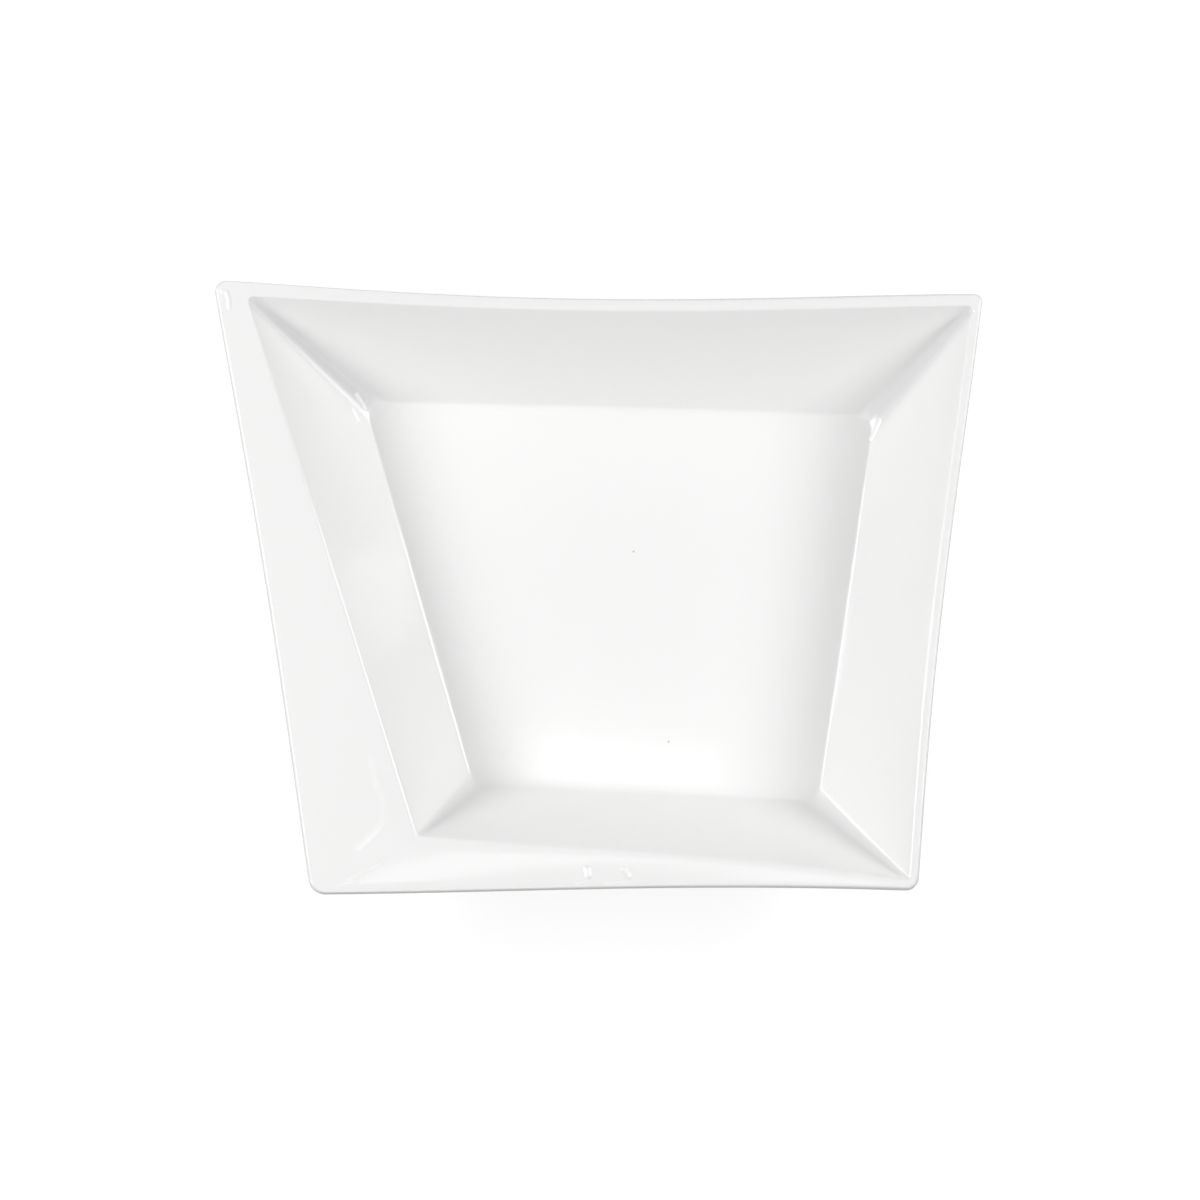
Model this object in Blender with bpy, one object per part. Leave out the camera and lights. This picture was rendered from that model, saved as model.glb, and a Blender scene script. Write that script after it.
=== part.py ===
"""A deep plate, one fired piece of white glazed porcelain, in metres with +Z up and the back at +Y.

Seen from above, the rim is a lopsided quadrilateral with slightly hollow sides, longest at the back.
The well has a flat floor and four leaning walls, and it is set towards the back right. So the rim is
a thin lip along the back and the right, and widens to a broad wing at the front left corner.
"""

import bmesh
import bpy
import numpy as np

# Plan of the rim, between its corners as they are before rounding
BACK_WIDTH = 0.2522
BACK_SKEW = 0.0048  # the back right corner lies this far in front of the back left one
FRONT_WIDTH = 0.1906
FRONT_SKEW = 0.0012  # the front right corner lies this far behind the front left one
LEFT_DEPTH = 0.2023
FRONT_OFFSET = 0.036  # the front left corner lies this far to the right of the back left one

# How far each side of the rim is hollowed inwards where it is deepest
RIM_BOW_BACK = 0.0028
RIM_BOW_RIGHT = 0.0017
RIM_BOW_FRONT = 0.0019
RIM_BOW_LEFT = 0.0011

# Where along a side, going clockwise, its hollow is deepest, and how steeply it dies away
HOLLOW_BACK_AT = 0.44
HOLLOW_RIGHT_AT = 0.58
HOLLOW_FRONT_AT = 0.40
HOLLOW_LEFT_AT = 0.50
HOLLOW_POWER = 3.0

# Radii of the rim's corners in plan
RIM_CORNER_BACK_LEFT = 0.0038
RIM_CORNER_BACK_RIGHT = 0.0026
RIM_CORNER_FRONT_RIGHT = 0.0044
RIM_CORNER_FRONT_LEFT = 0.0054

# Width of the rim, from its outer edge to the well's mouth, at both ends of each side
LIP_BACK_AT_LEFT = 0.0056
LIP_BACK_AT_RIGHT = 0.0042
LIP_RIGHT_AT_BACK = 0.0033
LIP_RIGHT_AT_FRONT = 0.0028
WING_FRONT_AT_RIGHT = 0.0024
WING_FRONT_AT_LEFT = 0.0218
WING_LEFT_AT_FRONT = 0.0376
WING_LEFT_AT_BACK = 0.0091

# The mouth's hollow sides and corner radius in plan; its left side is straight
MOUTH_BOW_BACK = 0.0019
MOUTH_BOW_RIGHT = 0.0016
MOUTH_BOW_FRONT = 0.0019
MOUTH_CORNER = 0.0015

# Run of each wall in plan, from the mouth in to the floor, at both ends of each side
BACK_RUN_AT_LEFT = 0.0255
BACK_RUN_AT_RIGHT = 0.0293
RIGHT_RUN_AT_BACK = 0.0251
RIGHT_RUN_AT_FRONT = 0.0309
FRONT_RUN_AT_RIGHT = 0.0295
FRONT_RUN_AT_LEFT = 0.0228
LEFT_RUN_AT_FRONT = 0.0218
LEFT_RUN_AT_BACK = 0.0277
FLOOR_CORNER = 0.006

# Heights above the table, and thicknesses of the fired body
RIM_HEIGHT = 0.035  # at the middle of a side
CORNER_RISE = 0.004  # the rim's corners stand this much higher
FLOOR_HEIGHT = 0.007
FLOOR_THICKNESS = 0.0045
RIM_THICKNESS = 0.0032
WALL_AT_RIM = 0.0030
WALL_AT_FLOOR = 0.0040

# Foot ring, which stands under the edge of the floor
FOOT_WIDTH = 0.0045
FOOT_TAPER = 0.0008  # lean of each of its faces in plan
FOOT_CORNER = 0.007

# Radii of the roundings in section
FLOOR_FILLET = 0.0032
MOUTH_ROUND = 0.0020
LIP_ROUND = 0.00155
WING_FILLET = 0.0040
FOOT_FILLET = 0.0015
FOOT_ROUND = 0.0006
FILLET_REACH = 0.48  # a rounding takes at most this share of the way to the next bend
LEVEL_REACH = 3.0  # the floor and the underside are drawn this many fillet radii inwards

# Facets along each side of the plan, round each of its corners and round each bend of the section
SIDE_STEPS = 14
CORNER_STEPS = 6
BEND_STEPS = 4
SHARP_ANGLE = 30.0  # edges that turn by more degrees than this are shaded sharp

# White glaze
GLAZE_COLOR = (0.90, 0.90, 0.895, 1.0)
GLAZE_ROUGHNESS = 0.08

# Sides run clockwise as seen from above, and each starts at the corner of the same number
BACK, RIGHT, FRONT, LEFT = range(4)
STRAIGHT = (0.0, 0.0, 0.0, 0.0)


def clear_scene():
    """Removes every object, so that the model is the only thing in the file."""
    for leftover in list(bpy.data.objects):
        bpy.data.objects.remove(leftover, do_unlink=True)


def side_line(quad, side):
    """Start, vector along and inward unit normal of one side of a quadrilateral."""
    start = quad[side]
    along = quad[(side + 1) % 4] - start
    inward = np.array((along[1], -along[0])) / np.linalg.norm(along)
    return start, along, inward


def inset(quad, widths):
    """Moves each side inwards, by one width at its start and another at its end, and crosses them anew."""
    lines = []
    for side, (at_start, at_end) in enumerate(widths):
        start, along, inward = side_line(quad, side)
        lines.append((start + inward * at_start, along + inward * (at_end - at_start)))
    corners = []
    for side in range(4):
        before, before_along = lines[side - 1]
        start, along = lines[side]
        share, _ = np.linalg.solve(np.column_stack((before_along, -along)), start - before)
        corners.append(before + before_along * share)
    return np.array(corners)


def arc(start, bend, end, steps):
    """Circular arc that leaves start towards bend and reaches end from there, as a rational Bezier curve."""
    to_start = start - bend
    to_end = end - bend
    lengths = np.linalg.norm(to_start, axis=-1) * np.linalg.norm(to_end, axis=-1)
    cosine = np.sum(to_start * to_end, axis=-1) / lengths
    weight = np.sqrt((1 - cosine) / 2)[..., None]
    share = np.linspace(0, 1, steps + 1).reshape((-1,) + (1,) * start.ndim)
    from_start = (1 - share) ** 2
    from_bend = 2 * share * (1 - share) * weight
    from_end = share**2
    return (from_start * start + from_bend * bend + from_end * end) / (from_start + from_bend + from_end)


def hollow(share, deepest):
    """Bell that is 0 at both ends of a side and 1 at its deepest place."""
    climb = (share / deepest) ** (HOLLOW_POWER * deepest)
    fall = ((1 - share) / (1 - deepest)) ** (HOLLOW_POWER * (1 - deepest))
    return climb * fall


def on_side(quad, bows, side, share):
    """Points at given shares of a side that is hollowed inwards."""
    start, along, inward = side_line(quad, side)
    deepest = (HOLLOW_BACK_AT, HOLLOW_RIGHT_AT, HOLLOW_FRONT_AT, HOLLOW_LEFT_AT)[side]
    share = np.asarray(share)[..., None]
    return start + along * share + inward * (bows[side] * hollow(share, deepest))


def outline(quad, radii, bows=STRAIGHT):
    """Closed plan outline of a quadrilateral with hollow sides and rounded corners."""
    trims = []
    lengths = []
    for side in range(4):
        _, before_along, _ = side_line(quad, side - 1)
        _, along, _ = side_line(quad, side)
        length = np.linalg.norm(along)
        cosine = -(before_along @ along) / (np.linalg.norm(before_along) * length)
        trims.append(radii[side] / np.tan(np.arccos(cosine) / 2))
        lengths.append(length)
    points = []
    for side in range(4):
        first = on_side(quad, bows, side - 1, 1 - trims[side] / lengths[side - 1])
        leave = trims[side] / lengths[side]
        arrive = 1 - trims[(side + 1) % 4] / lengths[side]
        points.append(arc(first, quad[side], on_side(quad, bows, side, leave), CORNER_STEPS))
        points.append(on_side(quad, bows, side, np.linspace(leave, arrive, SIDE_STEPS + 1)[1:-1]))
    return np.concatenate(points)


def at_height(plan, height):
    """Lifts a plan outline to one height, or to a height for each point."""
    return np.column_stack((plan, np.broadcast_to(height, len(plan))))


def lift(place):
    """0 half way between two sides and 1 at either of them, level at all three."""
    return 1 - np.maximum(1 - place**2, 0) ** (HOLLOW_POWER / 2)


def rim_sheet(quad, plan):
    """Height of the rim's upper face, a sheet that sags between its four raised corners."""
    away = []
    for side in range(4):
        start, _, inward = side_line(quad, side)
        away.append((plan - start) @ inward)
    across = (away[LEFT] - away[RIGHT]) / (away[LEFT] + away[RIGHT])
    deep = (away[FRONT] - away[BACK]) / (away[FRONT] + away[BACK])
    return RIM_HEIGHT + CORNER_RISE * lift(across) * lift(deep)


def fillet(before, bend, after, radius):
    """Rings that round the bend between three rings, point by point, as far as there is room."""
    to_before = before - bend
    to_after = after - bend
    before_reach = np.linalg.norm(to_before, axis=-1)
    after_reach = np.linalg.norm(to_after, axis=-1)
    cosine = np.sum(to_before * to_after, axis=-1) / (before_reach * after_reach)
    room = FILLET_REACH * np.minimum(before_reach, after_reach)
    setback = np.minimum(radius / np.tan(np.arccos(cosine) / 2), room)
    start = bend + to_before * (setback / before_reach)[:, None]
    end = bend + to_after * (setback / after_reach)[:, None]
    return list(arc(start, bend, end, BEND_STEPS))


def plan_quads():
    """Corners of the rim, the mouth and the floor in plan, and the walls' runs at each end."""
    rim = np.array((
        (0, 0),
        (BACK_WIDTH, -BACK_SKEW),
        (FRONT_OFFSET + FRONT_WIDTH, FRONT_SKEW - LEFT_DEPTH),
        (FRONT_OFFSET, -LEFT_DEPTH),
    ))
    mouth = inset(rim, (
        (LIP_BACK_AT_LEFT, LIP_BACK_AT_RIGHT),
        (LIP_RIGHT_AT_BACK, LIP_RIGHT_AT_FRONT),
        (WING_FRONT_AT_RIGHT, WING_FRONT_AT_LEFT),
        (WING_LEFT_AT_FRONT, WING_LEFT_AT_BACK),
    ))
    runs = np.array((
        (BACK_RUN_AT_LEFT, BACK_RUN_AT_RIGHT),
        (RIGHT_RUN_AT_BACK, RIGHT_RUN_AT_FRONT),
        (FRONT_RUN_AT_RIGHT, FRONT_RUN_AT_LEFT),
        (LEFT_RUN_AT_FRONT, LEFT_RUN_AT_BACK),
    ))
    return rim, mouth, inset(mouth, runs), runs


def even(width):
    """The same inset all round."""
    return np.full((4, 2), width)


def section_rings():
    """Rings of the loft, from the floor up over the rim and back under to the middle of the underside."""
    rim, mouth, floor, runs = plan_quads()
    rim_radii = (RIM_CORNER_BACK_LEFT, RIM_CORNER_BACK_RIGHT, RIM_CORNER_FRONT_RIGHT, RIM_CORNER_FRONT_LEFT)
    rim_bows = (RIM_BOW_BACK, RIM_BOW_RIGHT, RIM_BOW_FRONT, RIM_BOW_LEFT)
    mouth_bows = (MOUTH_BOW_BACK, MOUTH_BOW_RIGHT, MOUTH_BOW_FRONT, 0.0)
    underside_height = FLOOR_HEIGHT - FLOOR_THICKNESS

    # The outer wall lies a wall's thickness outside the inner one, square to its lean
    lean = runs / (RIM_HEIGHT - FLOOR_HEIGHT)
    slant = np.sqrt(1 + lean**2)
    under = inset(mouth, RIM_THICKNESS * lean - WALL_AT_RIM * slant)
    base = inset(floor, FLOOR_THICKNESS * lean - WALL_AT_FLOOR * slant)
    foot_outer = inset(base, even(FOOT_TAPER))
    foot_inner = inset(foot_outer, even(FOOT_WIDTH))
    recess = inset(foot_inner, even(FOOT_TAPER))

    floor_radii = (FLOOR_CORNER,) * 4
    foot_radii = (FOOT_CORNER,) * 4
    rim_plan = outline(rim, rim_radii, rim_bows)
    mouth_plan = outline(mouth, (MOUTH_CORNER,) * 4, mouth_bows)
    under_plan = outline(under, (MOUTH_CORNER + WALL_AT_RIM,) * 4, mouth_bows)
    rim_top = rim_sheet(rim, rim_plan)

    # Bends of the section, each with its rounding
    bends = (
        (at_height(outline(floor, floor_radii), FLOOR_HEIGHT), FLOOR_FILLET),
        (at_height(mouth_plan, rim_sheet(rim, mouth_plan)), MOUTH_ROUND),
        (at_height(rim_plan, rim_top), LIP_ROUND),
        (at_height(rim_plan, rim_top - RIM_THICKNESS), LIP_ROUND),
        (at_height(under_plan, rim_sheet(rim, under_plan) - RIM_THICKNESS), WING_FILLET),
        (at_height(outline(base, foot_radii), underside_height), FOOT_FILLET),
        (at_height(outline(foot_outer, foot_radii), 0.0), FOOT_ROUND),
        (at_height(outline(foot_inner, foot_radii), 0.0), FOOT_ROUND),
        (at_height(outline(recess, foot_radii), underside_height), FOOT_FILLET),
    )
    # Inside the first bend the floor runs on level, and inside the last one the underside does
    floor_inside = inset(floor, even(LEVEL_REACH * FLOOR_FILLET))
    floor_middle = at_height(outline(floor_inside, floor_radii), FLOOR_HEIGHT)
    underside_inside = inset(recess, even(LEVEL_REACH * FOOT_FILLET))
    underside_middle = at_height(outline(underside_inside, foot_radii), underside_height)
    path = [floor_middle] + [ring for ring, _ in bends] + [underside_middle]
    rings = []
    for number, (ring, radius) in enumerate(bends):
        rings.extend(fillet(path[number], ring, path[number + 2], radius))

    # The origin is on the table, under the middle of the rim's box
    middle = (rim_plan.min(axis=0) + rim_plan.max(axis=0)) / 2
    return [ring - np.append(middle, 0.0) for ring in rings]


def loft(name, rings):
    """Closed mesh through rings that have their points in the same order, capped flat at both ends."""
    mesh = bpy.data.meshes.new(name)
    bm = bmesh.new()
    loops = [[bm.verts.new(point) for point in ring] for ring in rings]
    for inner, outer in zip(loops, loops[1:]):
        for number in range(len(inner)):
            follower = (number + 1) % len(inner)
            bm.faces.new((inner[number], inner[follower], outer[follower], outer[number]))
    bm.faces.new(loops[0])
    bm.faces.new(loops[-1])
    bmesh.ops.recalc_face_normals(bm, faces=bm.faces)
    bm.to_mesh(mesh)
    bm.free()
    mesh.shade_smooth()
    mesh.set_sharp_from_angle(angle=np.radians(SHARP_ANGLE))
    return mesh


def white_glaze():
    """Glossy white glaze over porcelain."""
    material = bpy.data.materials.new("white_glaze")
    material.use_nodes = True
    shader = material.node_tree.nodes["Principled BSDF"]
    shader.inputs["Base Color"].default_value = GLAZE_COLOR
    shader.inputs["Roughness"].default_value = GLAZE_ROUGHNESS
    shader.inputs["Metallic"].default_value = 0.0
    return material


def main():
    clear_scene()
    collection = bpy.data.collections.new("deep_plate")
    bpy.context.scene.collection.children.link(collection)
    plate = bpy.data.objects.new("plate", loft("plate", section_rings()))
    plate.data.materials.append(white_glaze())
    collection.objects.link(plate)


main()
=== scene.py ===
# %% [markdown]
# # A deep plate of white glazed porcelain
# The plate is one fired piece: a four-sided well with leaning walls, set off centre in a lopsided rim.
# The measured model is loaded first and stays as it is, because it fixes the plate's size and place.
# Everything after that is the plate's finished surface, its glaze, and the studio that it is seen in.

# %% Load the measured model
import math

import bpy
import numpy as np
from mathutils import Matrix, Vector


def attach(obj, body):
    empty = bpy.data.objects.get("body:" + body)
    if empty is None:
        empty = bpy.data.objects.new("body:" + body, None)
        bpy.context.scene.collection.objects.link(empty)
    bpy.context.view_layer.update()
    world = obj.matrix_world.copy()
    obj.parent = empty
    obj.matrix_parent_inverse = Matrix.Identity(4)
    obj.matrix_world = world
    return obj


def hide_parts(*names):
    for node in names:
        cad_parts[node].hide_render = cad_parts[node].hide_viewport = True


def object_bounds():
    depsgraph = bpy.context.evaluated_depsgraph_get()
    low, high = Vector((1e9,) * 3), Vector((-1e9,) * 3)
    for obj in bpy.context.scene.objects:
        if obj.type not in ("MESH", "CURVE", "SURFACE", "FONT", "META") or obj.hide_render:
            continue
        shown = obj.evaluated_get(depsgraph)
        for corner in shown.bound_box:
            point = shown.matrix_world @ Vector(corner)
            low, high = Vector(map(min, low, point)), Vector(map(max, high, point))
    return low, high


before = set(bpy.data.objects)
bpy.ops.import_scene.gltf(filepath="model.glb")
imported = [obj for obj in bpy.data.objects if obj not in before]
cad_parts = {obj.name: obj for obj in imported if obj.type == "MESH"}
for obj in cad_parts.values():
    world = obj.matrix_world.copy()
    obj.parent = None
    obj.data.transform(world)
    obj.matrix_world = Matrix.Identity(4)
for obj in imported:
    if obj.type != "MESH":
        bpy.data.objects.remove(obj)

MM = 1000  # millimetres in a metre

cad_low, cad_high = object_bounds()
print("Measured box in millimetres:", [round(MM * edge, 2) for edge in cad_high - cad_low])

# %% [markdown]
# ## The camera
# The plate is seen from almost straight above, a little from the front, through a long lens.
# A long lens at a distance keeps the four sides nearly as straight and parallel as they are in plan.
# So the camera goes on a line that leans a little to the front, and looks along it at the plate's middle.

# %% Place the camera
VIEW_TARGET = np.array((0.000505, -0.002615, 0.022))
VIEW_DISTANCE = 1.0836
VIEW_ELEVATION = math.radians(77)
LENS_MILLIMETRES, SENSOR_MILLIMETRES = 100, 36

camera = bpy.data.objects.new("camera", bpy.data.cameras.new("camera"))
bpy.context.scene.collection.objects.link(camera)
camera.data.lens = LENS_MILLIMETRES
camera.data.sensor_width = SENSOR_MILLIMETRES
towards_camera = np.array((0, -math.cos(VIEW_ELEVATION), math.sin(VIEW_ELEVATION)))
camera.location = VIEW_TARGET + VIEW_DISTANCE * towards_camera
camera.rotation_euler = (math.pi / 2 - VIEW_ELEVATION, 0, 0)
bpy.context.scene.camera = camera
print("Camera at", [round(axis, 4) for axis in camera.location])

# %% [markdown]
# ## The plan of the rim
# From above, the rim is a quadrilateral, longest at the back, and no two sides are alike.
# Its corners could be read off one by one, but widths and skews are easier to measure and to change.
# The sides run clockwise from the back, and each one starts at the corner of the same number.

# %% Corners of the rim
SIDES = 4
BACK_WIDTH, BACK_SKEW = 0.2522, 0.0048
FRONT_WIDTH, FRONT_SKEW = 0.1906, 0.0012
LEFT_DEPTH, FRONT_OFFSET = 0.2023, 0.036

rim_corners = np.array((
    (0, 0),
    (BACK_WIDTH, -BACK_SKEW),
    (FRONT_OFFSET + FRONT_WIDTH, FRONT_SKEW - LEFT_DEPTH),
    (FRONT_OFFSET, -LEFT_DEPTH),
))


def side_lines(corners):
    """Starts, vectors along and inward unit normals of four sides: the normal is the side turned right."""
    along = np.roll(corners, -1, axis=0) - corners
    normals = np.column_stack((along[:, 1], -along[:, 0]))
    return corners, along, normals / np.linalg.norm(normals, axis=1, keepdims=True)


def side_lengths(corners):
    """Lengths of the four sides in millimetres, to a tenth."""
    return np.round(MM * np.linalg.norm(side_lines(corners)[1], axis=1), 1)


print("Sides of the rim in millimetres:", side_lengths(rim_corners))

# %% [markdown]
# ## From the rim to the mouth and the floor
# The well's mouth lies inside the rim, by a thin lip at the back and the right and by a wide wing at the
# front left. The floor lies inside the mouth, by the run of each leaning wall.
# Scaling the rim down would give every side the same lip. Instead each side is moved inwards by one width
# at its start and another at its end, and the moved lines are crossed again to give the new corners.

# %% Corners of the mouth and of the floor
# Widths at the start and the end of the back, right, front and left sides
RIM_WIDTHS = np.array(((0.0056, 0.0042), (0.0033, 0.0028), (0.0024, 0.0218), (0.0376, 0.0091)))
WALL_RUNS = np.array(((0.0255, 0.0293), (0.0251, 0.0309), (0.0295, 0.0228), (0.0218, 0.0277)))


def cross(first, second):
    """Cross product in the plane: x times the other y, less y times the other x."""
    return first[..., 0] * second[..., 1] - first[..., 1] * second[..., 0]


def inset(corners, widths):
    """Moves each side inwards, by its width at either end, and crosses it with the side before it."""
    start, along, inward = side_lines(corners)
    start = start + inward * widths[:, :1]
    along = along + inward * (widths[:, 1:] - widths[:, :1])
    before, before_along = np.roll(start, 1, axis=0), np.roll(along, 1, axis=0)
    share = cross(start - before, along) / cross(before_along, along)
    return before + before_along * share[:, None]


mouth_corners = inset(rim_corners, RIM_WIDTHS)
floor_corners = inset(mouth_corners, WALL_RUNS)
print("Sides of the floor in millimetres:", side_lengths(floor_corners))

# %% [markdown]
# ## Hollow sides and round corners
# The rim's sides are slightly hollow, each deepest at its own place, and its corners are rounded.
# A straight line, a bell that dips inwards and a circular arc are enough to draw all of that.
# Each outline is a function of the way round, worked out as one array, so that outlines of the same number
# of points can later be joined one to the next.

# %% Outline as a function of the way round
SIDE_STEPS = 80
CORNER_STEPS = 12
HOLLOW_AT = np.array((0.44, 0.58, 0.40, 0.50))  # where each side is deepest, as a share of it
HOLLOW_POWER = 3.0


def arc(start, bend, end, steps):
    """Circular arc, a rational curve: (1-t)^2 start + 2t(1-t)w bend + t^2 end, over the sum of the weights.

    The weight w is the sine of half the angle at the bend, which makes the curve a circle's arc.
    """
    to_start, to_end = start - bend, end - bend
    lengths = np.linalg.norm(to_start, axis=-1) * np.linalg.norm(to_end, axis=-1)
    weight = np.sqrt((1 - np.sum(to_start * to_end, axis=-1) / lengths) / 2)[..., None]
    share = np.linspace(0, 1, steps + 1).reshape((-1,) + (1,) * start.ndim)
    from_start, from_bend, from_end = (1 - share) ** 2, 2 * share * (1 - share) * weight, share**2
    return (from_start * start + from_bend * bend + from_end * end) / (from_start + from_bend + from_end)


def hollow(share, deepest):
    """Bell along a side, 0 at its ends and 1 where deepest: (s/p)^(3p) times ((1-s)/(1-p))^(3(1-p))."""
    climb = (share / deepest) ** (HOLLOW_POWER * deepest)
    return climb * ((1 - share) / (1 - deepest)) ** (HOLLOW_POWER * (1 - deepest))


def outline(corners, radii, bows=(0,) * SIDES):
    """Closed outline: at each corner an arc between two sides, then the side with its bell pushed in."""
    start, along, inward = side_lines(corners)
    length = np.linalg.norm(along, axis=1)
    before = np.roll(along, 1, axis=0)
    angle = np.arccos(-np.sum(before * along, axis=1) / (length * np.roll(length, 1)))
    trim = radii / np.tan(angle / 2)
    leave, arrive = trim / length, 1 - np.roll(trim, -1) / length
    share = leave[:, None] + (arrive - leave)[:, None] * np.linspace(0, 1, SIDE_STEPS + 1)
    depth = np.array(bows)[:, None] * hollow(share, HOLLOW_AT[:, None])
    side = start[:, None] + along[:, None] * share[..., None] + inward[:, None] * depth[..., None]
    corner = arc(np.roll(side[:, -1], 1, axis=0), corners, side[:, 0], CORNER_STEPS)
    return np.concatenate((np.moveaxis(corner, 0, 1), side[:, 1:-1]), axis=1).reshape(-1, 2)


RIM_RADII = np.array((0.0038, 0.0026, 0.0044, 0.0054))
RIM_BOWS = (0.0028, 0.0017, 0.0019, 0.0011)
rim_plan = outline(rim_corners, RIM_RADII, RIM_BOWS)
middle = (rim_plan.min(axis=0) + rim_plan.max(axis=0)) / 2
print("Points round the rim:", len(rim_plan))

# %% [markdown]
# ## The rim sags between its corners
# The rim is lowest half way along each side and rises to its four corners.
# A sheet over the whole plan gives that height anywhere: it is the product of a rise towards the left and
# right sides and a rise towards the back and front sides, so only the corners have both.

# %% Height of the rim's upper face
RIM_HEIGHT = 0.035
CORNER_RISE = 0.004
LIFT_POWER = 1.5


def lift(place):
    """0 half way between two sides and 1 at either: 1 - (1 - s^2)^1.5."""
    return 1 - np.maximum(1 - place**2, 0) ** LIFT_POWER


def rim_sheet(plan):
    """Height of the sheet: the rim's height plus the rise times both lifts."""
    start, _, inward = side_lines(rim_corners)
    back, right, front, left = np.sum((plan - start[:, None]) * inward[:, None], axis=-1)
    across = lift((left - right) / (left + right))
    along = lift((front - back) / (front + back))
    return RIM_HEIGHT + CORNER_RISE * across * along


rim_top = rim_sheet(rim_plan)
print("Rim height in millimetres:", round(MM * rim_top.min(), 1), "to", round(MM * rim_top.max(), 1))

# %% [markdown]
# ## Nine bends from the floor to the underside
# Cut through, the wall climbs from the floor to the mouth, turns out to the rim, folds over it, comes down
# outside to a foot ring and crosses the hollow underside. Each turn is a bend with its own radius.
# The outer wall is found from the inner one by its thickness, square to its lean.

# %% Bends of the section
FLOOR_HEIGHT = 0.007
FLOOR_THICKNESS, RIM_THICKNESS = 0.0045, 0.0032
WALL_AT_RIM, WALL_AT_FLOOR = 0.0030, 0.0040
FOOT_WIDTH, FOOT_TAPER, FOOT_RADIUS = 0.0045, 0.0008, 0.007
MOUTH_RADIUS, FLOOR_RADIUS = 0.0015, 0.006
MOUTH_BOWS = (0.0019, 0.0016, 0.0019, 0)
UNDERSIDE_HEIGHT = FLOOR_HEIGHT - FLOOR_THICKNESS


def raised(plan, height):
    """A plan outline lifted to one height, or to a height for each of its points."""
    return np.column_stack((plan - middle, np.broadcast_to(height, len(plan))))


def even(width):
    """The same inset all round."""
    return np.full((SIDES, 2), width)


def same_corners(corners, radius, bows=(0,) * SIDES):
    """Outline whose four corners have one radius."""
    return outline(corners, np.full(SIDES, radius), bows)


lean = WALL_RUNS / (RIM_HEIGHT - FLOOR_HEIGHT)
slant = np.sqrt(1 + lean**2)
under_corners = inset(mouth_corners, RIM_THICKNESS * lean - WALL_AT_RIM * slant)
base_corners = inset(floor_corners, FLOOR_THICKNESS * lean - WALL_AT_FLOOR * slant)
foot_outer = inset(base_corners, even(FOOT_TAPER))
foot_inner = inset(foot_outer, even(FOOT_WIDTH))
recess_corners = inset(foot_inner, even(FOOT_TAPER))

mouth_plan = same_corners(mouth_corners, MOUTH_RADIUS, MOUTH_BOWS)
under_plan = same_corners(under_corners, MOUTH_RADIUS + WALL_AT_RIM, MOUTH_BOWS)
floor_plan = same_corners(floor_corners, FLOOR_RADIUS)
base_plan = same_corners(base_corners, FOOT_RADIUS)
outer_plan = same_corners(foot_outer, FOOT_RADIUS)
inner_plan = same_corners(foot_inner, FOOT_RADIUS)
recess_plan = same_corners(recess_corners, FOOT_RADIUS)
bends = np.array((
    raised(floor_plan, FLOOR_HEIGHT),
    raised(mouth_plan, rim_sheet(mouth_plan)),
    raised(rim_plan, rim_top),
    raised(rim_plan, rim_top - RIM_THICKNESS),
    raised(under_plan, rim_sheet(under_plan) - RIM_THICKNESS),
    raised(base_plan, UNDERSIDE_HEIGHT),
    raised(outer_plan, 0),
    raised(inner_plan, 0),
    raised(recess_plan, UNDERSIDE_HEIGHT),
))
FLOOR, MOUTH, RIM, UNDER, BASE = 0, 1, 2, 4, 5  # numbers of the bends that are called by name
print("Bends and points in each:", bends.shape[:2])

# %% [markdown]
# ## Rounding every bend
# Potters' moulds have no sharp edges, and glaze softens what is left. A bevel modifier could round the
# edges, but one width would have to serve them all, and it would have to be told which edges to take.
# Here each bend is replaced by an arc of its own radius, made shorter where the lip leaves less room.
# The walls between the bends are slightly hollow: they lie flatter at their foot and stand steeper under
# the lip, which is why the back wall grows lighter towards the floor. So their arcs aim at a lowered ring.

# %% Rings that the walls sag towards
WALL_SAG = 0.0008


def sagging(first, last):
    """Control ring of a hollow wall: half way between two rings, and lower by twice the sag."""
    return (first + last) / 2 - np.array((0, 0, 2 * WALL_SAG))


inner_wall = sagging(bends[FLOOR], bends[MOUTH])
outer_wall = sagging(bends[UNDER], bends[BASE])
print("Wall sag in millimetres:", MM * WALL_SAG)

# %% Arcs in place of the bends
BEND_STEPS = 8
# Radii in the order of the bends
BEND_RADII = np.array((0.0032, 0.0020, 0.00155, 0.00155, 0.0040, 0.0015, 0.0006, 0.0006, 0.0015))
FILLET_REACH = 0.48  # an arc takes at most this share of the way to the next bend
LEVEL_REACH = 0.010  # the floor and the underside are first drawn this far inwards

floor_inside = same_corners(inset(floor_corners, even(LEVEL_REACH)), FLOOR_RADIUS)
recess_inside = same_corners(inset(recess_corners, even(LEVEL_REACH)), FOOT_RADIUS)
rings_before = np.array((raised(floor_inside, FLOOR_HEIGHT), *bends[:-1]))
rings_after = np.array((*bends[1:], raised(recess_inside, UNDERSIDE_HEIGHT)))
rings_before[MOUTH] = rings_after[FLOOR] = inner_wall
rings_before[BASE] = rings_after[UNDER] = outer_wall


def rounded(before, bends, after, radii):
    """Arcs in place of bends: each starts and ends r / tan(half the angle) from its bend."""
    to_before, to_after = before - bends, after - bends
    room_before, room_after = np.linalg.norm(to_before, axis=-1), np.linalg.norm(to_after, axis=-1)
    angle = np.arccos(np.sum(to_before * to_after, axis=-1) / (room_before * room_after))
    most = FILLET_REACH * np.minimum(room_before, room_after)
    setback = np.minimum(radii[:, None] / np.tan(angle / 2), most)
    start = bends + to_before * (setback / room_before)[..., None]
    end = bends + to_after * (setback / room_after)[..., None]
    return np.moveaxis(arc(start, bends, end, BEND_STEPS), 0, 1)


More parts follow.
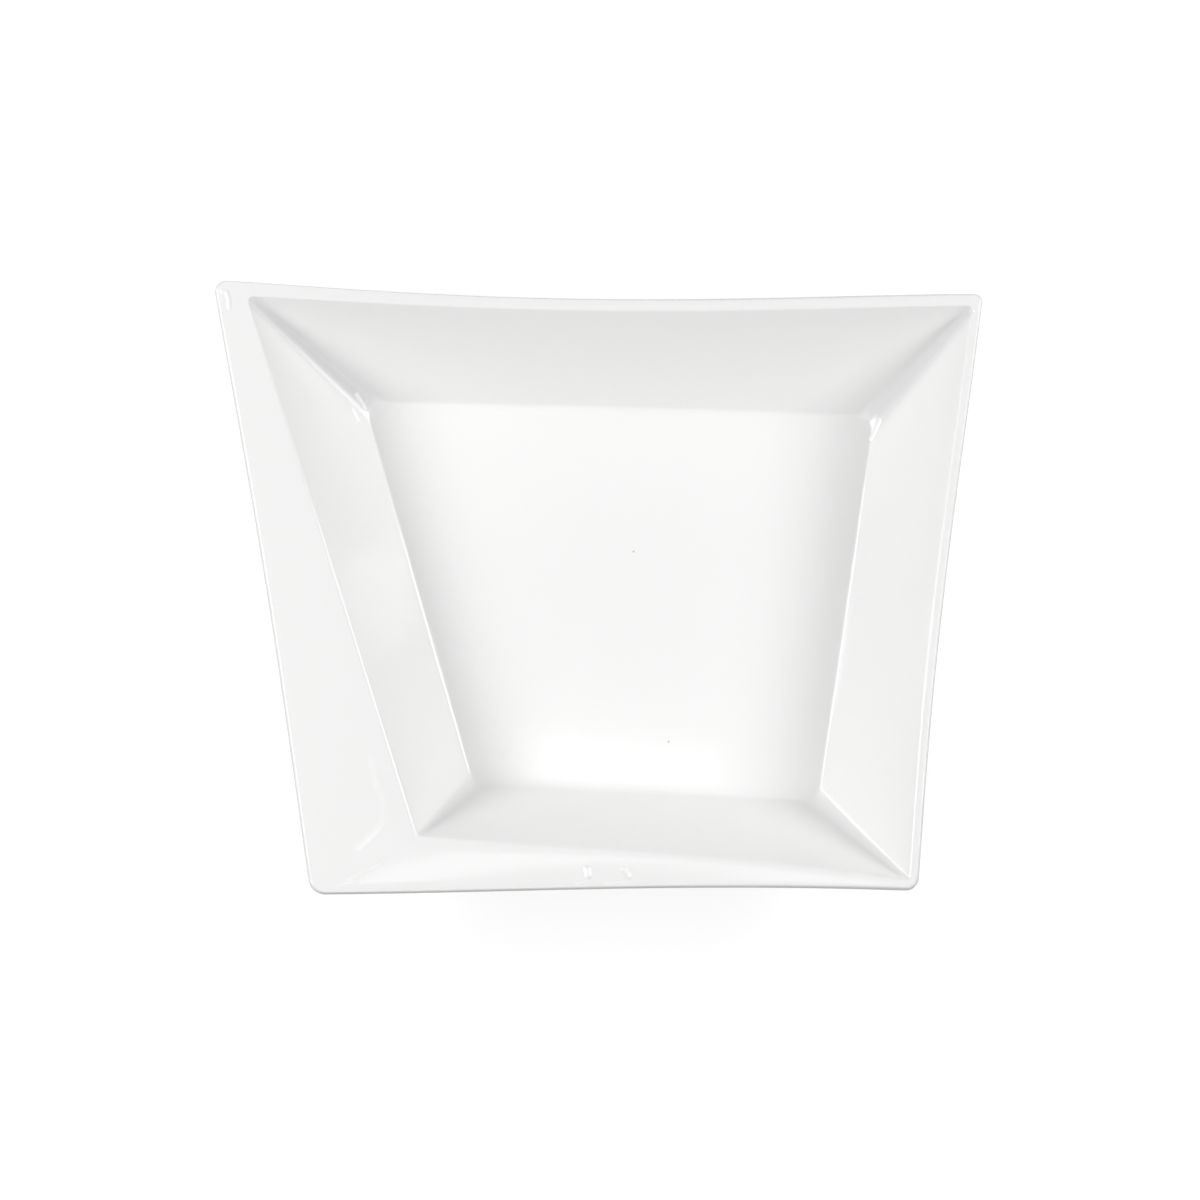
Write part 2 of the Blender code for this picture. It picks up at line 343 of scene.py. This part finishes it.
arcs = rounded(rings_before, bends, rings_after, BEND_RADII)
print("Arcs, rings in each and points in each ring:", arcs.shape[:3])

# %% [markdown]
# ## One skin from the middle of the floor to the middle of the underside
# The arcs are joined by straight spans or by a hollow wall, and at both ends the rings shrink to a point.
# So the whole plate is one function of two parameters: how far along the section, and how far round.
# The rings are stacked into one array, and the faces follow from the numbers of rows and columns.

# %% Stack the rings
SPAN_STEPS = (14, 5, 2, 5, 14, 2, 3, 2)  # from each arc to the next
FLOOR_STEPS = 24
UNDERSIDE_STEPS = 16


def between(first, control, last, steps):
    """Rings strictly between two rings, on a quadratic curve: (1-t)^2 first + 2t(1-t) control + t^2 last."""
    share = np.arange(1, steps)[:, None, None] / steps
    return (1 - share) ** 2 * first + 2 * share * (1 - share) * control + share**2 * last


def shrunk(ring, steps):
    """Rings from near a ring's middle out to it, leaving out the ring itself, and the middle point."""
    centre = ring.mean(axis=0)
    return centre + (ring - centre) * (np.arange(1, steps) / steps)[:, None, None], centre


floor_rings, floor_middle = shrunk(arcs[0, 0], FLOOR_STEPS)
under_rings, under_middle = shrunk(arcs[-1, -1], UNDERSIDE_STEPS)
controls = (arcs[:-1, -1] + arcs[1:, 0]) / 2
controls[FLOOR], controls[UNDER] = inner_wall, outer_wall
stack = [floor_rings, arcs[0]]
for number, steps in enumerate(SPAN_STEPS):
    stack += [between(arcs[number, -1], controls[number], arcs[number + 1, 0], steps), arcs[number + 1]]
rings = np.concatenate(stack + [under_rings[::-1]])
print("Rings and points in each:", rings.shape[:2])

# %% [markdown]
# ## The skin
# A grid of rings needs no modelling tools: each face joins two neighbours of one ring to the same two of the
# next. The first ring and the last are each closed by a fan of triangles round a middle point, so the skin
# has no hole. It stands for the measured solid, so every point is also kept inside that solid's box.

# %% Skin the rings
def skin(name, rings, first, last):
    """Mesh over a grid of rings: quads between neighbours, and a fan of triangles at either end."""
    rows, columns = rings.shape[:2]
    column = np.arange(columns)
    follower = (column + 1) % columns
    row = 1 + columns * np.arange(rows - 1)[:, None]
    next_row = row + columns
    quads = np.stack((row + column, row + follower, next_row + follower, next_row + column), axis=-1)
    last_row = 1 + columns * (rows - 1)
    end = np.full(columns, last_row + columns)
    fans = np.concatenate((
        np.column_stack((np.zeros_like(column), 1 + follower, 1 + column)),
        np.column_stack((last_row + column, last_row + follower, end)),
    ))
    mesh = bpy.data.meshes.new(name)
    points = np.concatenate((first[None], rings.reshape(-1, 3), last[None]))
    points = np.clip(points, cad_low, cad_high)
    mesh.from_pydata(points.tolist(), [], quads.reshape(-1, 4).tolist() + fans.tolist())
    mesh.shade_smooth()
    mesh.update()
    return mesh, points


plate_mesh, points = skin("glazed_plate", rings, floor_middle, under_middle)
plate = bpy.data.objects.new("glazed_plate", plate_mesh)
bpy.context.scene.collection.objects.link(plate)
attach(plate, "root")
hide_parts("plate")
print("Faces:", len(plate_mesh.polygons))

# %% [markdown]
# ## Painted shade in the back valleys and on the rim's edge
# The two back valleys, and the back wall beside them, are painted a shade greyer: painted shade where the
# valleys lie in shadow. The rim's outer edge is painted greyer too: a painted dark outline for the shade
# at the edge.
# Where that is follows from the shape, so it is worked out once, here, and kept on the mesh as a value for
# each point. The material can then read it like a painted mask.

# %% Keep values on the mesh
def keep_on_mesh(name, values):
    """Stores one number for each point of the plate under a name that a material can read."""
    plate_mesh.attributes.new(name, "FLOAT", "POINT").data.foreach_set("value", values.astype(np.float32))
    print("Points with more than half of", name + ":", int(np.sum(values > 0.5)))


# %% Measure how near each point is to the rim's edge
EDGE_REACH = 0.0006

edge = arcs[RIM, -1]
off_edge = np.linalg.norm(rings[..., :2] - edge[:, :2], axis=-1)
# Painted dark outline: the rim's outer edge is painted greyer, for the shade at the edge
painted_edge_shade = np.exp(-((off_edge / EDGE_REACH) ** 2))
keep_on_mesh("painted_edge_shade", np.pad(painted_edge_shade.ravel(), 1))

# %% Measure how near each point is to a back valley
# From the left and the right valley to where its painted shade is darkest, positive on the back wall
VALLEY_SHADE_OFFSETS = (-0.0006, -0.0016)
SHADE_ON_BACK, SHADE_ON_SIDE = 0.0043, 0.0028  # how far it reaches from there, either way
SHADE_AT_MOUTH = 0.5  # at the mouth these are this share of what they are at the floor
SHADE_RISE = 0.002  # it thins out over the last of the wall's height above the floor


def shade_across_valley(points, floor_end, mouth_end, towards_back, offset):
    """Bell across a valley, exp(-((d - offset) / reach)^2), where d is the signed distance in plan."""
    way = (mouth_end - floor_end)[:2]
    from_floor = points[:, :2] - floor_end[:2]
    share = np.clip(from_floor @ way / (way @ way), 0, 1)
    beside = np.linalg.norm(from_floor - share[:, None] * way, axis=1)
    beside *= np.sign(towards_back * cross(way, from_floor))
    distance = beside / (1 + (SHADE_AT_MOUTH - 1) * share) - offset
    return np.exp(-((distance / np.where(distance > 0, SHADE_ON_BACK, SHADE_ON_SIDE)) ** 2))


valley_columns = CORNER_STEPS // 2 + np.arange(2) * (len(rim_plan) // SIDES)
valleys = zip(*arcs[[FLOOR, MOUTH]][:, BEND_STEPS // 2, valley_columns], (-1, 1), VALLEY_SHADE_OFFSETS)
# Painted shade: the back valleys and the back wall beside them are painted greyer
painted_valley_shade = np.max([shade_across_valley(points, *valley) for valley in valleys], axis=0)
painted_valley_shade *= np.clip((points[:, 2] - FLOOR_HEIGHT) / SHADE_RISE, 0, 1)
well_rings = len(floor_rings) + len(arcs[FLOOR]) + SPAN_STEPS[FLOOR] - 1 + BEND_STEPS // 2
painted_valley_shade[1 + well_rings * len(rim_plan):] = 0
keep_on_mesh("painted_valley_shade", painted_valley_shade)

# %% [markdown]
# ## Effects as node groups
# Fired glaze is never quite level or quite even. It keeps long, shallow ripples, it dries in fine runs,
# and a few specks of kiln dust are caught in it. Each effect is a small node group that works on the plate's
# own coordinates in metres, so it stays the same size on the plate from any side and needs no unwrapping.
# A group can be placed as often as needed, each time with other values.

# %% Helpers for nodes
def add_node(tree, kind, inputs=(), **settings):
    """Adds a shader node: its settings are set, and each input is linked to a socket or given a value."""
    node = tree.nodes.new(kind)
    for name, value in settings.items():
        setattr(node, name, value)
    for name, value in dict(inputs).items():
        if isinstance(value, bpy.types.NodeSocket):
            tree.links.new(value, node.inputs[name])
        else:
            node.inputs[name].default_value = value
    return node


def calculate(tree, operation, first, second=0.0, third=0.0):
    """Result of one arithmetic step between sockets or numbers; only MULTIPLY_ADD uses the third."""
    return add_node(tree, "ShaderNodeMath", {0: first, 1: second, 2: third}, operation=operation).outputs[0]


def new_group(name, inputs, outputs):
    """Empty node group with named sockets: vectors where the name is a place, numbers elsewhere."""
    group = bpy.data.node_groups.new(name, "ShaderNodeTree")
    for direction, sockets in (("INPUT", inputs), ("OUTPUT", outputs)):
        for socket in sockets:
            kind = "NodeSocketVector" if socket in ("Place", "Start", "End") else "NodeSocketFloat"
            group.interface.new_socket(socket, in_out=direction, socket_type=kind)
    return group, group.nodes.new("NodeGroupInput").outputs, group.nodes.new("NodeGroupOutput").inputs


# %% Ripple group
# Noise with lumps about one length apart. Its share is from 0 to 1, and its height is the share less a half,
# times the depth.
ripple, given, result = new_group("glaze_ripple", ("Place", "Length", "Depth"), ("Height", "Share"))
per_metre = calculate(ripple, "DIVIDE", 1.0, given["Length"])
noise = add_node(ripple, "ShaderNodeTexNoise", {"Vector": given["Place"], "Scale": per_metre, "Detail": 1.0})
from_middle = calculate(ripple, "SUBTRACT", noise.outputs["Fac"], 0.5)
ripple.links.new(calculate(ripple, "MULTIPLY", from_middle, given["Depth"]), result["Height"])
ripple.links.new(noise.outputs["Fac"], result["Share"])
print("Group", ripple.name, "gives", [socket.name for socket in result if socket.name])

# %% Stroke group
# A stroke is a straight line from start to end. The mask falls from 1 on it to 0 at one width from it,
# eased at both ends, and the height is the mask times the width times the steepness.
stroke_inputs = ("Place", "Start", "End", "Width", "Steepness")
stroke, given, result = new_group("glaze_stroke", stroke_inputs, ("Mask", "Height"))


def combine(operation, first, second):
    """One vector step inside the stroke group, as the node it adds."""
    return add_node(stroke, "ShaderNodeVectorMath", {0: first, 1: second}, operation=operation)


way = combine("SUBTRACT", given["End"], given["Start"]).outputs[0]
from_start = combine("SUBTRACT", given["Place"], given["Start"]).outputs[0]
reached = combine("DOT_PRODUCT", from_start, way).outputs["Value"]
whole = combine("DOT_PRODUCT", way, way).outputs["Value"]
share = calculate(stroke, "DIVIDE", reached, whole)
share = add_node(stroke, "ShaderNodeClamp", {"Value": share}).outputs[0]
nearest = add_node(stroke, "ShaderNodeVectorMath", {0: way, "Scale": share}, operation="SCALE").outputs[0]
distance = combine("DISTANCE", from_start, nearest).outputs["Value"]
falloff = {"Value": distance, "From Max": given["Width"], "To Min": 1.0, "To Max": 0.0}
swell = add_node(stroke, "ShaderNodeMapRange", falloff, interpolation_type="SMOOTHSTEP").outputs[0]
tallest = calculate(stroke, "MULTIPLY", given["Width"], given["Steepness"])
stroke.links.new(swell, result["Mask"])
stroke.links.new(calculate(stroke, "MULTIPLY", swell, tallest), result["Height"])
print("Group", stroke.name, "gives", [socket.name for socket in result if socket.name])

# %% [markdown]
# ## Runs, beads and specks
# Near the front left corner the glaze dried in a few fine runs, which catch the light as thin bright lines,
# and the rim has two more at the middle of the front. Beads sit at the two back corners, on the rim at the
# left and at the mouth at the right. A little glaze also collected where the back valleys meet the floor.
# Besides their relief, all of these are painted whiter: a painted highlight over each of them.
# Each run is a chain of short strokes between points in millimetres from the plate's middle. On the rim the
# points are given in plan, and the rim's own sheet lifts them. Two specks of dust lie on the floor.

# %% Places of the runs and the specks
# Width in millimetres, height over width, and points of each run
RIM_RUNS = (
    (0.6, 0.20, ((-68.5, -91.3), (-78.8, -96.5), (-75.8, -97.3), (-81.6, -98.2))),
    (1.7, 0.02, (
        (-72.3, -58.0), (-71.0, -64.7), (-68.2, -71.0), (-67.6, -76.5), (-70.6, -81.0), (-76.0, -86.0),
    )),
    (1.6, 0.33, ((-3.5, -92.6), (-3.2, -94.8))),
    (0.5, 0.20, ((-3.2, -96.6), (-7.6, -97.6))),
    (1.4, 0.33, ((8.0, -92.8), (9.6, -95.2))),
    (0.5, 0.20, ((9.0, -96.6), (2.0, -97.4))),
    (1.2, 0.28, ((-120.5, 91.6), (-120.8, 94.8), (-121.6, 96.9), (-122.8, 97.0))),
    (1.0, 0.38, ((121.4, 90.2), (122.0, 90.3))),
)
FLOOR_RUNS = (
    (1.0, 0.20, ((-80.6, 70.1, 11.0), (-78.0, 66.1, 8.5))),
    (0.9, 0.20, ((-81.5, 65.2, 11.1), (-79.8, 61.6, 10.5))),
    (1.1, 0.20, ((93.6, 61.6, 9.4), (91.0, 56.0, 7.2))),
)
SPECKS = ((11.6, 17.3), (22.9, -46.6))
SPECK_WIDTH = 0.5


def on_rim(plan):
    """Points in metres, lifted from the plan to the rim's upper face."""
    plan = np.array(plan) / MM
    return np.column_stack((plan, rim_sheet(plan + middle)))


def chain(width, steepness, run):
    """Strokes of one run, as starts and ends, a width in metres and a steepness."""
    return [(start, end, width / MM, steepness) for start, end in zip(run[:-1], run[1:])]


strokes = []
for width, steepness, plan in RIM_RUNS:
    strokes += chain(width, steepness, on_rim(plan))
for width, steepness, run in FLOOR_RUNS:
    strokes += chain(width, steepness, np.array(run) / MM)
specks = [np.append(np.array(plan) / MM, FLOOR_HEIGHT) for plan in SPECKS]
specks = [(speck, speck, SPECK_WIDTH / MM, 0) for speck in specks]
print("Strokes:", len(strokes), "and specks:", len(specks))

# %% [markdown]
# ## The white glaze
# The body is white porcelain under a clear, glossy glaze: a white that reflects nine tenths of the light,
# a sharp shine over it, and very little roughness. The back valleys are painted a shade greyer, as painted
# shade, and are duller too; the rim's outer edge is painted greyer, as a painted dark outline. Runs stand
# proud, and are painted the whiter the thicker they are, as a painted highlight. The foot ring's
# standing face is wiped bare before firing, so it is matt and warmer.

# %% Shades of the glaze
GLAZE_WHITE = (0.920, 0.920, 0.915, 1)
VALLEY_SHADE_GREY = (0.720, 0.725, 0.725, 1)
EDGE_SHADE_GREY = (0.680, 0.675, 0.665, 1)
GLINT_WHITE = (0.970, 0.970, 0.965, 1)
SPECK_GREY = (0.42, 0.40, 0.37, 1)
BARE_BODY = (0.800, 0.775, 0.730, 1)

glaze = bpy.data.materials.new("white_glaze")
glaze.use_nodes = True
tree = glaze.node_tree
shader = tree.nodes["Principled BSDF"]
place = add_node(tree, "ShaderNodeTexCoord").outputs["Object"]
print("Glaze of", len(tree.nodes), "nodes to start with")


# %% Helpers for the glaze
COLOR_INPUTS, COLOR_RESULT = (6, 7), 2  # by number, because the sockets of a Mix node share their names


def use_group(group, **inputs):
    """A group placed in the glaze's material, on the plate's own coordinates."""
    node = add_node(tree, "ShaderNodeGroup", node_tree=group)
    tree.links.new(place, node.inputs["Place"])
    for name, value in inputs.items():
        node.inputs[name].default_value = value
    return node.outputs


def marks(strokes):
    """Mask and height of whichever stroke is strongest at a place."""
    mask, height = 0.0, 0.0
    for start, end, width, steepness in strokes:
        made = use_group(stroke, Start=start, End=end, Width=width, Steepness=steepness)
        mask = calculate(tree, "MAXIMUM", made["Mask"], mask)
        height = calculate(tree, "MAXIMUM", made["Height"], height)
    return mask, height


def mix_color(factor, first, second):
    """First colour where the factor is 0, and the second where it is 1."""
    mix = add_node(tree, "ShaderNodeMix", {0: factor}, data_type="RGBA")
    for number, color in zip(COLOR_INPUTS, (first, second)):
        if isinstance(color, bpy.types.NodeSocket):
            tree.links.new(color, mix.inputs[number])
        else:
            mix.inputs[number].default_value = color
    return mix.outputs[COLOR_RESULT]


# %% Masks of the glaze
LONG_RIPPLE = {"Length": 0.014, "Depth": 0.00003}
SHORT_RIPPLE = {"Length": 0.0035, "Depth": 0.000002}
BARE_HEIGHT = 0.0002

run_mask, run_height = marks(strokes)
speck_mask, _ = marks(specks)
# Painted shade in the back valleys
valley_shade_mask = add_node(tree, "ShaderNodeAttribute", attribute_name="painted_valley_shade").outputs["Fac"]
# Painted dark outline along the rim's edge
edge_shade_mask = add_node(tree, "ShaderNodeAttribute", attribute_name="painted_edge_shade").outputs["Fac"]
height = add_node(tree, "ShaderNodeSeparateXYZ", {0: place}).outputs["Z"]
bare_mask = calculate(tree, "LESS_THAN", height, BARE_HEIGHT)
long_ripple = use_group(ripple, **LONG_RIPPLE)
short_ripple = use_group(ripple, **SHORT_RIPPLE)
print("Nodes for the masks:", len(tree.nodes))

# %% Colour
GLINT_FULL = 0.00006  # a run this thick is fully white, a thinner one less
GLINT_PATCHINESS = 1.6  # times the share of the ripple, which makes the runs a little patchy

# Painted shade in the back valleys, then the painted dark outline on the rim's edge
color = mix_color(valley_shade_mask, GLAZE_WHITE, VALLEY_SHADE_GREY)
color = mix_color(edge_shade_mask, color, EDGE_SHADE_GREY)
# Painted highlight: the runs are painted whiter the thicker they stand
painted_glint = calculate(tree, "MINIMUM", calculate(tree, "DIVIDE", run_height, GLINT_FULL), 1.0)
patches = calculate(tree, "MULTIPLY", short_ripple["Share"], GLINT_PATCHINESS)
color = mix_color(calculate(tree, "MULTIPLY", painted_glint, patches), color, GLINT_WHITE)
color = mix_color(speck_mask, color, SPECK_GREY)
color = mix_color(bare_mask, color, BARE_BODY)
tree.links.new(color, shader.inputs["Base Color"])
print("Nodes with the colour:", len(tree.nodes))

# %% Roughness and relief
GLAZE_ROUGHNESS, ROUGHNESS_SPREAD = 0.05, 0.05
VALLEY_ROUGHNESS, BARE_ROUGHNESS = 0.45, 0.55

gloss = calculate(tree, "MULTIPLY_ADD", long_ripple["Share"], ROUGHNESS_SPREAD, GLAZE_ROUGHNESS)
dull = calculate(tree, "MULTIPLY", valley_shade_mask, calculate(tree, "SUBTRACT", 1.0, run_mask))
dull = calculate(tree, "MULTIPLY", dull, VALLEY_ROUGHNESS)
matt = calculate(tree, "MULTIPLY", bare_mask, BARE_ROUGHNESS)
rough = calculate(tree, "MAXIMUM", gloss, calculate(tree, "MAXIMUM", dull, matt))
tree.links.new(rough, shader.inputs["Roughness"])

relief = calculate(tree, "ADD", long_ripple["Height"], short_ripple["Height"])
relief = calculate(tree, "ADD", relief, run_height)
bump = add_node(tree, "ShaderNodeBump", {"Height": relief, "Distance": 1.0, "Strength": 1.0})
tree.links.new(bump.outputs["Normal"], shader.inputs["Normal"])
plate_mesh.materials.append(glaze)
print("Nodes in the glaze:", len(tree.nodes))

# %% [markdown]
# ## A white table and a white room
# The plate stands on white paper in a white room. Paper that is lit to pure white would need lamps so strong
# that the white plate loses its shading. So rays that come straight from the camera, or by way of a mirror
# or glass, see mostly a plain glow, with a part that is lit and so keeps the plate's soft shadow.
# Soft light bounces off ordinary paper instead, and the room gives only a dim light of its own.

# %% White paper
PAPER_HALF = 3.0
PAPER_GLOW = 0.80
PAPER_GREY = (0.50, 0.50, 0.50, 1)  # for soft light
SHADOW_GREY = (0.28, 0.28, 0.28, 1)  # the lit part of what is seen


def seen_directly(tree):
    """Mask that is 1 for rays from the camera and for mirrored or transmitted ones, and 0 for soft light."""
    path = add_node(tree, "ShaderNodeLightPath").outputs
    mirrored = calculate(tree, "MAXIMUM", path["Is Glossy Ray"], path["Is Transmission Ray"])
    return calculate(tree, "MAXIMUM", path["Is Camera Ray"], mirrored)


corner_signs = np.array(((-1, -1), (1, -1), (1, 1), (-1, 1)))
table_mesh = bpy.data.meshes.new("white_table")
table_corners = np.column_stack((PAPER_HALF * corner_signs, np.zeros(len(corner_signs))))
table_mesh.from_pydata(table_corners.tolist(), [], [(0, 1, 2, 3)])
table = bpy.data.objects.new("white_table", table_mesh)
bpy.context.scene.collection.objects.link(table)

paper = bpy.data.materials.new("white_paper")
paper.use_nodes = True
tree = paper.node_tree
tree.nodes.clear()
plain = add_node(tree, "ShaderNodeBsdfDiffuse", {"Color": PAPER_GREY})
lit_part = add_node(tree, "ShaderNodeBsdfDiffuse", {"Color": SHADOW_GREY})
glow = add_node(tree, "ShaderNodeEmission", {"Strength": PAPER_GLOW})
seen = add_node(tree, "ShaderNodeAddShader", {0: lit_part.outputs[0], 1: glow.outputs[0]})
choice = {0: seen_directly(tree), 1: plain.outputs[0], 2: seen.outputs[0]}
choose = add_node(tree, "ShaderNodeMixShader", choice)
add_node(tree, "ShaderNodeOutputMaterial", {"Surface": choose.outputs[0]})
table_mesh.materials.append(paper)
print("Table:", 2 * PAPER_HALF, "metres each way")

# %% White room
ROOM_LIGHT = 0.02
WHITE = (1, 1, 1, 1)

world = bpy.data.worlds.new("white_room")
bpy.context.scene.world = world
world.use_nodes = True
tree = world.node_tree
tree.nodes.clear()
dim = add_node(tree, "ShaderNodeBackground", {"Color": WHITE, "Strength": ROOM_LIGHT})
backdrop = add_node(tree, "ShaderNodeBackground", {"Color": WHITE, "Strength": 1.0})
choice = {0: seen_directly(tree), 1: dim.outputs[0], 2: backdrop.outputs[0]}
choose = add_node(tree, "ShaderNodeMixShader", choice)
add_node(tree, "ShaderNodeOutputWorld", {"Surface": choose.outputs[0]})
print("Room light:", ROOM_LIGHT)

# %% [markdown]
# ## Lamps
# A soft box stands at the left and another at the right, a little behind the plate, and each has a wide,
# dimmer panel across it. Every wall shades the floor at its foot from one side, which draws the grey bands
# there, and the thin bright lines along the floor, the crease and the lip are the soft boxes in the glaze.
# One more panel, high in front, fills the rest. Two small lamps are there for what mirrors them: one almost
# overhead shines in the front of the floor, and a low strip at the left shines in the right wall, beside its
# front valley. A lamp is given by its direction and by the angles that it fills, as seen from the plate.

# %% Soft boxes
LAMP_DISTANCE = 1.2


def soft_lamp(name, azimuth, elevation, width, height, radiance):
    """Rectangular lamp that faces the plate; its power is radiance times pi times its area.

    Azimuth is from the right, towards the back, in degrees. Width and height are the angles that it fills.
    """
    light = bpy.data.lights.new(name, "AREA")
    light.shape = "RECTANGLE"
    light.size = 2 * LAMP_DISTANCE * math.tan(math.radians(width) / 2)
    light.size_y = 2 * LAMP_DISTANCE * math.tan(math.radians(height) / 2)
    light.energy = radiance * math.pi * light.size * light.size_y
    lamp = bpy.data.objects.new(name, light)
    bpy.context.scene.collection.objects.link(lamp)
    turn, rise = math.radians(azimuth), math.radians(elevation)
    level = math.cos(rise)
    direction = np.array((level * math.cos(turn), level * math.sin(turn), math.sin(rise)))
    lamp.location = LAMP_DISTANCE * direction
    lamp.rotation_euler = (math.pi / 2 - rise, 0, math.pi / 2 + turn)
    print(name, "at", [round(axis, 2) for axis in lamp.location], "gives", round(light.energy, 1), "watts")


# Name, azimuth, elevation, width, height and radiance
LAMPS = (
    ("left_lamp", 172, 38, 40, 16, 7.6),
    ("right_lamp", 22, 33, 26, 26, 5.2),
    ("left_panel", 182, 32, 90, 12, 2.4),
    ("right_panel", -2, 32, 90, 12, 3.5),
    ("front_panel", -90, 60, 70, 40, 0.98),
    ("top_lamp", 84, 83.6, 6.5, 4.0, 1.9),
    ("left_strip", 152, 9, 15, 10, 4.0),
)
for lamp in LAMPS:
    soft_lamp(*lamp)
bpy.context.scene.view_settings.view_transform = "Standard"
